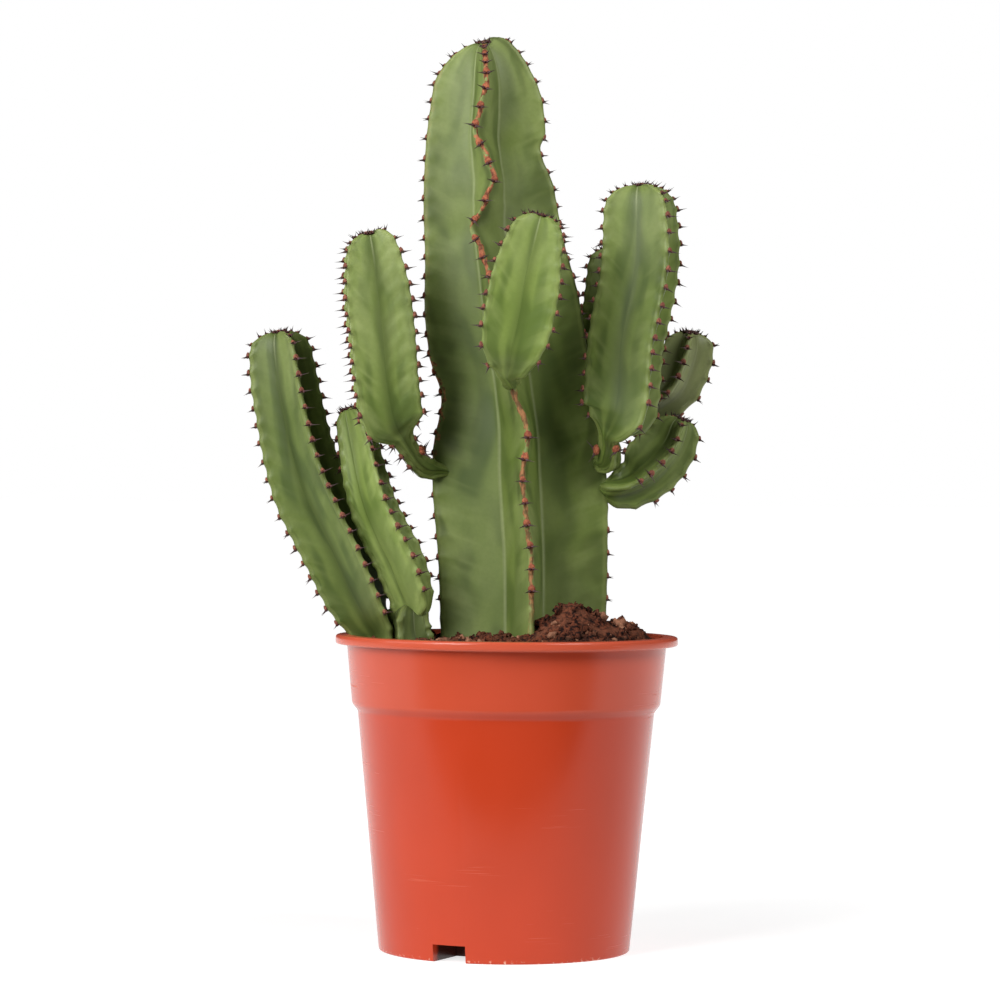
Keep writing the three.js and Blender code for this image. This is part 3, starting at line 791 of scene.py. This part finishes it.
def notch_boxes(start, end, width, bottom, top):
    """A box at each drain notch, turned to its place round the pot's foot."""
    faces = [(0, 1, 3, 2), (4, 6, 7, 5), (0, 4, 5, 1), (2, 3, 7, 6), (0, 2, 6, 4), (1, 5, 7, 3)]
    boxes = []
    for index in range(NOTCH.count):
        angle = math.radians(NOTCH.first_angle + 360 / NOTCH.count * index)
        spin = Matrix.Rotation(angle, 3, "Z")
        corners = [
            tuple(spin @ Vector((x, y, z)))
            for x in (start, end) for y in (-width / 2, width / 2) for z in (bottom, top)
        ]
        boxes.append(mesh_object("cutter", corners, faces))
    return boxes


def cut(solid, cutters):
    """Takes the cutters away from a solid and removes them."""
    bpy.context.view_layer.objects.active = solid
    for cutter in cutters:
        difference = solid.modifiers.new("cut", "BOOLEAN")
        difference.operation = "DIFFERENCE"
        difference.solver = "EXACT"
        difference.object = cutter
        bpy.ops.object.modifier_apply(modifier="cut")
        bpy.data.objects.remove(cutter)
    return solid


def make_pot(plastic):
    """The plastic pot: flat rim, straight band, step and tapered body with drain notches."""
    height, wall = POT.height, POT.wall
    under_rim = height - POT.rim_depth
    outside = turned("pot_shell", [
        (0, 0, 0),
        (POT.base_radius, 0, 1.3),
        (POT.body_top_radius, POT.step_bottom, 1.2),
        (POT.band_bottom_radius, POT.step_top, 1.6),
        (POT.band_top_radius, under_rim, 0.8),
        (POT.rim_radius, under_rim, 1.6),
        (POT.rim_radius, height, 1.9),
        (0, height, 0),
    ])
    inside = turned("pot_cavity", [
        (0, POT.floor, 0),
        (POT.base_radius - wall, POT.floor, 0.8),
        (POT.body_top_radius - wall, POT.step_bottom, 1.2),
        (POT.band_bottom_radius - wall, POT.step_top, 1.2),
        (POT.band_top_radius - wall, under_rim, 0),
        (POT.band_top_radius - wall, height + 1, 0),
        (0, height + 1, 0),
    ])
    pocket_top = NOTCH.height + wall
    pocket_width = NOTCH.width + 2 * wall
    pockets = notch_boxes(NOTCH.depth_from - wall, POT.rim_radius, pocket_width, 0, pocket_top)
    notches = notch_boxes(NOTCH.depth_from, NOTCH.depth_to, NOTCH.width, -1, NOTCH.height)
    slots = notch_boxes(NOTCH.slot_from, NOTCH.slot_to, NOTCH.slot_length, POT.floor, pocket_top + 1)
    made = cut(outside, [cut(inside, pockets), *notches, *slots])
    made.data.set_sharp_from_angle(angle=math.radians(POT.sharp_angle))
    made.data.materials.append(plastic)
    part_of(made, "pot")


# Soil

def soil_surface(x, y):
    """The height of the soil at a place: its mounds, rough with crumbs."""
    from_wall = SOIL.radius - math.hypot(x, y)
    level = SOIL.wall_level
    for middle_x, middle_y, height, spread_x, spread_y in SOIL.mounds:
        across = (x - middle_x) / spread_x
        deep = (y - middle_y) / spread_y
        fade = min(max(from_wall / SOIL.mound_fade, 0), 1)
        level += fade * height * math.exp(-across * across - deep * deep)
    place = Vector((x, y, 0))
    rough = sum(height * noise.noise(place / width) for height, width in SOIL.roughness)
    return level + rough * min(max(from_wall / SOIL.rough_fade, 0), 1)


def make_ground(earth):
    """The body of the soil: a rough surface on a plain block inside the pot."""
    turn = around(SOIL.sides)
    lower = POT.body_top_radius - POT.wall - SOIL.bottom_inset
    points = [(lower * math.cos(angle), lower * math.sin(angle), SOIL.bottom) for angle in turn]
    for radius in np.linspace(SOIL.radius, 1, SOIL.rings):
        for angle in turn:
            x, y = radius * math.cos(angle), radius * math.sin(angle)
            points.append((x, y, soil_surface(x, y)))
    points += [(0, 0, SOIL.bottom), (0, 0, soil_surface(0, 0))]
    made = mesh_object("soil_ground", points, capped_faces(SOIL.rings + 1, SOIL.sides))
    store(made, "tone", np.full(len(points), GROUND_TONE))
    made.data.materials.append(earth)
    part_of(made, "soil")


def lump_template():
    """A round lump, to be dented and squashed into a crumb. Every other ring turns half a step."""

    def point_at(place, turn):
        tilt = math.pi * (place + 1) / (CRUMB.rings + 1)
        angle = turn + math.pi * (place % 2) / CRUMB.sides
        return math.sin(tilt) * math.cos(angle), math.sin(tilt) * math.sin(angle), -math.cos(tilt)

    return tube(np.arange(CRUMB.rings), CRUMB.sides, point_at, [(0, 0, -1), (0, 0, 1)])


def make_crumbs(earth):
    """Loose crumbs of bark and compost on the soil's surface, a few of them large and tan."""
    gathered = Gathered()
    template, _, faces = lump_template()
    for _ in range(CRUMB.count):
        radius = (SOIL.radius - CRUMB.from_wall) * math.sqrt(random.uniform())
        angle = random.uniform(0, math.tau)
        x, y = radius * math.cos(angle), radius * math.sin(angle)
        size = min(CRUMB.smallest + random.exponential(CRUMB.growth), CRUMB.largest)
        dents = random.uniform(*CRUMB.dents, (len(template), 1))
        squash = random.uniform(*CRUMB.squash, 3)
        spin = np.array(Euler(random.uniform(0, math.tau, 3)).to_matrix())
        points = (template * dents * squash * size) @ spin
        place = [x, y, soil_surface(x, y) + CRUMB.raised * size]
        gathered.add(points + place, faces, random.uniform(), 0)
    part_of(gathered.finish("soil_crumbs", [earth]), "soil")


# Materials

class Nodes:
    """Adds shader nodes to a tree. A socket given as a value is linked; any other value is set, a
    colour as red, green and blue."""

    def __init__(self, tree):
        self.tree = tree

    def put(self, socket, value):
        if isinstance(value, bpy.types.NodeSocket):
            self.tree.links.new(value, socket)
        else:
            socket.default_value = (*value, 1) if socket.type == "RGBA" else value

    def add(self, kind, values, **settings):
        made = self.tree.nodes.new("ShaderNode" + kind)
        for key, value in settings.items():
            setattr(made, key, value)
        for key, value in values.items():
            self.put(made.inputs[key], value)
        return made

    def attribute(self, name):
        return self.add("Attribute", {}, attribute_name=name).outputs["Fac"]

    def place(self, scale=(1, 1, 1)):
        """Object coordinates in metres, stretched."""
        where = self.add("TexCoord", {}).outputs["Object"]
        return self.add("Mapping", {"Vector": where, "Scale": scale}).outputs["Vector"]

    def coordinate(self, vector, axis):
        return self.add("SeparateXYZ", {"Vector": vector}).outputs[axis]

    def length(self, vector):
        return self.add("VectorMath", {"Vector": vector}, operation="LENGTH").outputs["Value"]

    def vector(self, x, y, z):
        return self.add("CombineXYZ", {"X": x, "Y": y, "Z": z}).outputs["Vector"]

    def noise(self, vector, scale, detail=3, distortion=0):
        values = {"Vector": vector, "Scale": scale, "Detail": detail, "Distortion": distortion}
        return self.add("TexNoise", values).outputs["Fac"]

    def grain(self, scale, detail=3):
        """Noise that is alike in every direction of the object."""
        return self.noise(self.place(), scale, detail)

    def math(self, operation, first, second):
        made = self.add("Math", {}, operation=operation)
        self.put(made.inputs[0], first)
        self.put(made.inputs[1], second)
        return made.outputs["Value"]

    def times(self, first, second):
        return self.math("MULTIPLY", first, second)

    def plus(self, first, second):
        return self.math("ADD", first, second)

    def ease(self, value, low, high, to_low=0, to_high=1):
        values = {
            "Value": value, "From Min": low, "From Max": high, "To Min": to_low, "To Max": to_high,
        }
        return self.add("MapRange", values, interpolation_type="SMOOTHSTEP").outputs["Result"]

    def mix(self, factor, first, second):
        values = {"Fac": factor, "Color1": first, "Color2": second}
        return self.add("MixRGB", values).outputs["Color"]

class Painter(Nodes):
    """The nodes of one material and the shader that they feed."""

    def __init__(self, name, specular):
        self.material = bpy.data.materials.new(name)
        self.material.use_nodes = True
        super().__init__(self.material.node_tree)
        self.shader = self.tree.nodes["Principled BSDF"]
        self.put(self.shader.inputs["Specular IOR Level"], specular)

    def start(self, factor, first, second):
        """Lays down a tone that shifts between two colours."""
        self.tone = self.mix(factor, first, second)

    def cover(self, factor, colour):
        """Lays a colour over the tone so far."""
        self.tone = self.mix(factor, self.tone, colour)

    def finish(self, roughness, height, distance, strength):
        """The material, rough and with fine relief."""
        relief = self.add("Bump", {"Height": height, "Distance": distance, "Strength": strength})
        self.put(self.shader.inputs["Base Color"], self.tone)
        self.put(self.shader.inputs["Roughness"], roughness)
        self.put(self.shader.inputs["Normal"], relief.outputs["Normal"])
        return self.material


SKIN = {
    "deep": (0.074, 0.112, 0.021), "mid": (0.136, 0.188, 0.04), "pale": (0.25, 0.305, 0.1),
    "line": (0.4, 0.43, 0.25), "sheen": (0.27, 0.315, 0.125), "grey": (0.2, 0.2, 0.105),
    "margin": (0.25, 0.29, 0.09), "cork": (0.38, 0.14, 0.065), "cork_dark": (0.12, 0.04, 0.022),
}


def skin_tone(name, share=1):
    """One of the skin's colours, darker or lighter by a share."""
    return tuple(value * share for value in SKIN[name])


def skin_material(name, shade, feathers, furrow_line=0, furrow_dark=0.4, sheen=0.3,
                  sheen_length=60, old_foot=0, patches=0.25, grey=0):
    """Waxy green skin: soft bands along the stem, slanting feathers, dark patches beside the ribs,
    painted shade in the furrows, some with a pale line, pale margins, and a greyish sheen towards the
    tip and on an old stem's foot, partly a paler waxy bloom and partly painted light."""
    # The shade darkens or lightens the whole skin: partly the stem's own tone, partly painted shade
    # and light.
    deep, mid, pale = (skin_tone(tone, shade) for tone in ("deep", "mid", "pale"))
    shadow = skin_tone("deep", 0.45 * shade)
    paint = Painter(name, 0.22)
    place, along, from_tip = map(paint.attribute, ("place", "along", "from_tip"))
    across = paint.plus(place, paint.times(paint.attribute("flank"), 7.3))
    slanted = paint.math("SUBTRACT", along, paint.times(place, 14))
    soft = paint.vector(across, paint.times(along, 0.012), 0)
    bands = paint.noise(soft, 2, 1, 0.3)
    rows = paint.vector(across, paint.times(slanted, 0.1), 3)
    streaks = paint.noise(rows, 1, 1.5, 0.5)
    blots = paint.noise(paint.vector(across, paint.times(slanted, 0.02), 9), 1.3, 1, 0.6)
    clouds = paint.noise(paint.place((1, 1, 0.5)), 26, 2, 0.5)
    fine = paint.grain(380)

    paint.start(paint.ease(bands, 0.36, 0.62), deep, mid)
    paint.cover(paint.ease(clouds, 0.46, 0.72, 0, 0.4), pale)
    feather = paint.times(paint.ease(streaks, 0.38, 0.72), paint.ease(place, 0.15, 0.8))
    paint.cover(paint.times(feather, feathers), pale)
    blot = paint.times(paint.ease(blots, 0.48, 0.64), paint.ease(place, 0.35, 0.9))
    paint.cover(paint.times(blot, patches), shadow)
    # Greyish sheen towards the tip and on an old foot: partly a paler waxy bloom, partly painted
    # light.
    young = paint.ease(from_tip, 0.4 * sheen_length, sheen_length, sheen, 0)
    old = paint.ease(along, 60, 160, old_foot, 0)
    patchy = paint.ease(blots, 0.36, 0.6, 1, 0.4)
    shine = paint.times(paint.math("MAXIMUM", young, old), patchy)
    paint.cover(shine, skin_tone("sheen"))
    # Painted shade in the furrows, darkest at their bottom.
    paint.cover(paint.ease(place, 0, 0.4, furrow_dark, 0), shadow)
    line = paint.math("MAXIMUM", paint.ease(from_tip, 0, 26, 0.4, 0), furrow_line)
    line = paint.times(paint.ease(place, 0, 0.06, 1, 0), line)
    paint.cover(line, skin_tone("line"))
    paint.cover(grey, skin_tone("grey"))
    paint.cover(paint.ease(place, 0.95, 1, 0, 0.22), skin_tone("margin"))
    paint.cover(paint.ease(fine, 0.35, 0.7, 0, 0.12), deep)

    grain = paint.noise(paint.place((1, 1, 0.6)), 420, 3)
    mottle = paint.grain(210)
    edge = paint.plus(place, paint.ease(mottle, 0.32, 0.66, -0.075, 0.04))
    is_cork = paint.times(paint.ease(edge, 0.99, 1.02), paint.attribute("cork"))
    cork_tone = paint.mix(paint.ease(grain, 0.4, 0.6), skin_tone("cork_dark"), skin_tone("cork"))
    paint.cover(is_cork, cork_tone)

    waxy = paint.ease(clouds, 0.3, 0.8, 0.4, 0.5)
    rough = paint.plus(waxy, paint.times(is_cork, 0.4))
    height = paint.plus(paint.times(fine, 0.12), paint.times(grain, is_cork))
    return paint.finish(rough, height, 0.0006, 0.4)


def cork_material(name, fresh, old, foot):
    """Cork of the pads: its fresh colour above, nearly black at the end where the spines stand."""
    paint = Painter(name, 0.25)
    grain = paint.grain(700, 4)
    age = paint.grain(75, 1)
    paint.start(paint.ease(grain, 0.32, 0.68), old, fresh)
    paint.cover(paint.ease(age, 0.4, 0.65, 0, 0.5), old)
    paint.cover(paint.ease(paint.attribute("tone"), 0.05, 0.36, 1, 0), foot)
    return paint.finish(0.8, grain, 0.0006, 0.8)


def spine_material():
    """Hard spines: maroon at the foot, nearly black, with a greyish tip."""
    paint = Painter("spine_horn", 0.45)
    grain = paint.grain(900, 2)
    along = paint.attribute("tone")
    maroon, dark = (0.08, 0.018, 0.02), (0.028, 0.014, 0.013)
    paint.start(paint.ease(along, 0, 0.3), maroon, dark)
    paint.cover(paint.ease(along, 0.55, 1, 0, 0.7), (0.16, 0.11, 0.085))
    paint.cover(paint.ease(grain, 0.4, 0.7, 0, 0.4), (0.09, 0.035, 0.03))
    return paint.finish(paint.ease(grain, 0.3, 0.7, 0.4, 0.6), grain, 0.0002, 0.4)


def earth_material():
    """Damp compost: red-brown to nearly black, with tan bits."""
    paint = Painter("compost", 0.15)
    kind = paint.attribute("tone")
    grain = paint.grain(500, 4)
    patches = paint.grain(90)
    black, red_brown = (0.006, 0.002, 0.0015), (0.12, 0.034, 0.016)
    paint.start(paint.ease(grain, 0.4, 0.62), black, red_brown)
    paint.cover(paint.ease(patches, 0.45, 0.65, 0, 0.6), (0.17, 0.06, 0.032))
    paint.cover(paint.ease(patches, 0.3, 0.45, 0.7, 0), (0.01, 0.004, 0.003))
    paint.cover(paint.ease(kind, 0.76, 0.96, 0, 0.85), (0.36, 0.17, 0.1))
    height = paint.grain(1000)
    return paint.finish(0.9, height, 0.0012, 0.9)


def plastic_material():
    """Glossy orange plastic with a few pale scuffs and wear on its foot, a band and rim made paler
    as a painted reflection, and painted shade darkening its notches.
    """
    paint = Painter("pot_plastic", 0.32)
    paint.put(paint.shader.inputs["IOR"], 1.46)
    clouds = paint.noise(paint.place((1, 1, 0.6)), 18, 2)
    lines = paint.noise(paint.place((8, 8, 520)), 3, 2)
    patches = paint.noise(paint.place((1, 1, 2.5)), 15, 1)
    spots = paint.grain(420)
    level = paint.coordinate(paint.place(), "Z")
    orange, lighter = (0.4, 0.036, 0.009), (0.43, 0.04, 0.011)
    paint.start(paint.ease(clouds, 0.3, 0.7), orange, lighter)
    scratch = paint.times(paint.ease(lines, 0.62, 0.72), paint.ease(patches, 0.6, 0.72))
    paint.cover(paint.times(scratch, 0.2), (0.7, 0.25, 0.16))
    foot = paint.times(paint.ease(level, 0.0005, 0.003, 1, 0), paint.ease(spots, 0.58, 0.66))
    paint.cover(foot, (0.65, 0.35, 0.25))
    # The band above the step and the rim are paler: painted reflection.
    band = paint.ease(level, 0.148, 0.152, 0, 0.22)
    painted_reflection = paint.plus(band, paint.ease(level, 0.186, 0.188, 0, 0.18))
    paint.cover(painted_reflection, (0.6, 0.14, 0.08))
    # Nearly black inside the drain notches: painted shade.
    radius = paint.length(paint.place((1, 1, 0)))
    low_down = paint.ease(level, 0.0112, 0.013, 1, 0)
    notch_shade = paint.times(paint.ease(radius, 0.069, 0.0745, 0.95, 0), low_down)
    paint.cover(notch_shade, (0.02, 0.004, 0.002))
    rough = paint.plus(paint.ease(clouds, 0.3, 0.7, 0.2, 0.25), paint.times(scratch, 0.4))
    height = paint.plus(paint.times(clouds, 0.3), paint.times(spots, 0.03))
    return paint.finish(rough, height, 0.001, 0.1)


# Stage

def make_sheet(name, half_width, front, back, glow):
    """A pale sheet on the ground. The eye sees it nearly as white as the backdrop; its glow is weaker
    by the pot, a painted shade, and the plant is lit by its glow."""
    paint = Painter(name + "_white", 0.2)
    grain = paint.grain(40, 2)
    paint.start(grain, (0.42, 0.42, 0.42), (0.46, 0.46, 0.46))
    paint.put(paint.shader.inputs["Emission Color"], (1, 1, 1))
    # The glow is weaker by the pot: painted shade round its foot.
    white = paint.ease(paint.length(paint.place()), 0.15, 0.9, 0.74, 1)
    seen = paint.add("LightPath", {}).outputs["Is Camera Ray"]
    strength = paint.times(white, paint.ease(seen, 0, 1, glow, 1))
    paint.put(paint.shader.inputs["Emission Strength"], strength)
    corners = [(x, y, 0) for y in (front, back) for x in (-half_width, half_width)]
    made = mesh_object(name, corners, [(0, 1, 3, 2)])
    made.data.materials.append(paint.finish(0.7, grain, 0.0001, 0.1))


def make_softbox(name, place, power):
    """A square lamp, turned to the middle of the plant."""
    lamp = bpy.data.lights.new(name, "AREA")
    lamp.size = SOFTBOX_SIDE
    lamp.energy = power
    made = add_object(name, lamp)
    made.location = place
    made.rotation_euler = (LIT_PLACE - Vector(place)).to_track_quat("-Z", "Y").to_euler()


def make_world():
    """White to the eye; as light it is dark in front of the plant and nearly so behind it."""
    world = bpy.data.worlds.new("studio")
    world.use_nodes = True
    bpy.context.scene.world = world
    nodes = Nodes(world.node_tree)
    background = nodes.tree.nodes["Background"]
    way = nodes.add("TexCoord", {}).outputs["Generated"]
    light = nodes.ease(nodes.coordinate(way, "Y"), -0.5, 0.5, 0, 0.05)
    seen = nodes.add("LightPath", {}).outputs["Is Camera Ray"]
    nodes.put(background.inputs["Strength"], nodes.math("MAXIMUM", seen, light))
    nodes.put(background.inputs["Color"], (1, 1, 1))


def make_camera():
    """The camera of the photograph: nearly level, and rolled by half a degree."""
    data = bpy.data.cameras.new("camera")
    data.sensor_width = CAMERA.sensor
    data.lens = CAMERA.lens
    made = add_object("camera", data)
    made.location = CAMERA.place
    pitch = Matrix.Rotation(math.radians(90 - CAMERA.pitch_down), 4, "X")
    roll = Matrix.Rotation(math.radians(CAMERA.roll), 4, "Z")
    made.rotation_euler = (pitch @ roll).to_euler()
    bpy.context.scene.camera = made


# The plant in its pot

trunk_cork = cork_material(
    "trunk_cork", (0.42, 0.135, 0.06), (0.17, 0.045, 0.025), (0.04, 0.01, 0.01),
)
young_cork = cork_material(
    "young_cork", (0.3, 0.115, 0.065), (0.13, 0.04, 0.028), (0.045, 0.013, 0.012),
)
armour_look = [young_cork, spine_material(), trunk_cork]
for stem in STEMS:
    make_stem(stem, skin_material(stem.name + "_skin", **stem.look))
    make_armour(stem, armour_look)
earth = earth_material()
make_ground(earth)
make_crumbs(earth)
make_pot(plastic_material())

for name, sheet in SHEETS.items():
    make_sheet(name, *sheet)
for name, light in LIGHTS.items():
    make_softbox(name, *light)
make_camera()
make_world()
bpy.context.scene.view_settings.view_transform = "Standard"
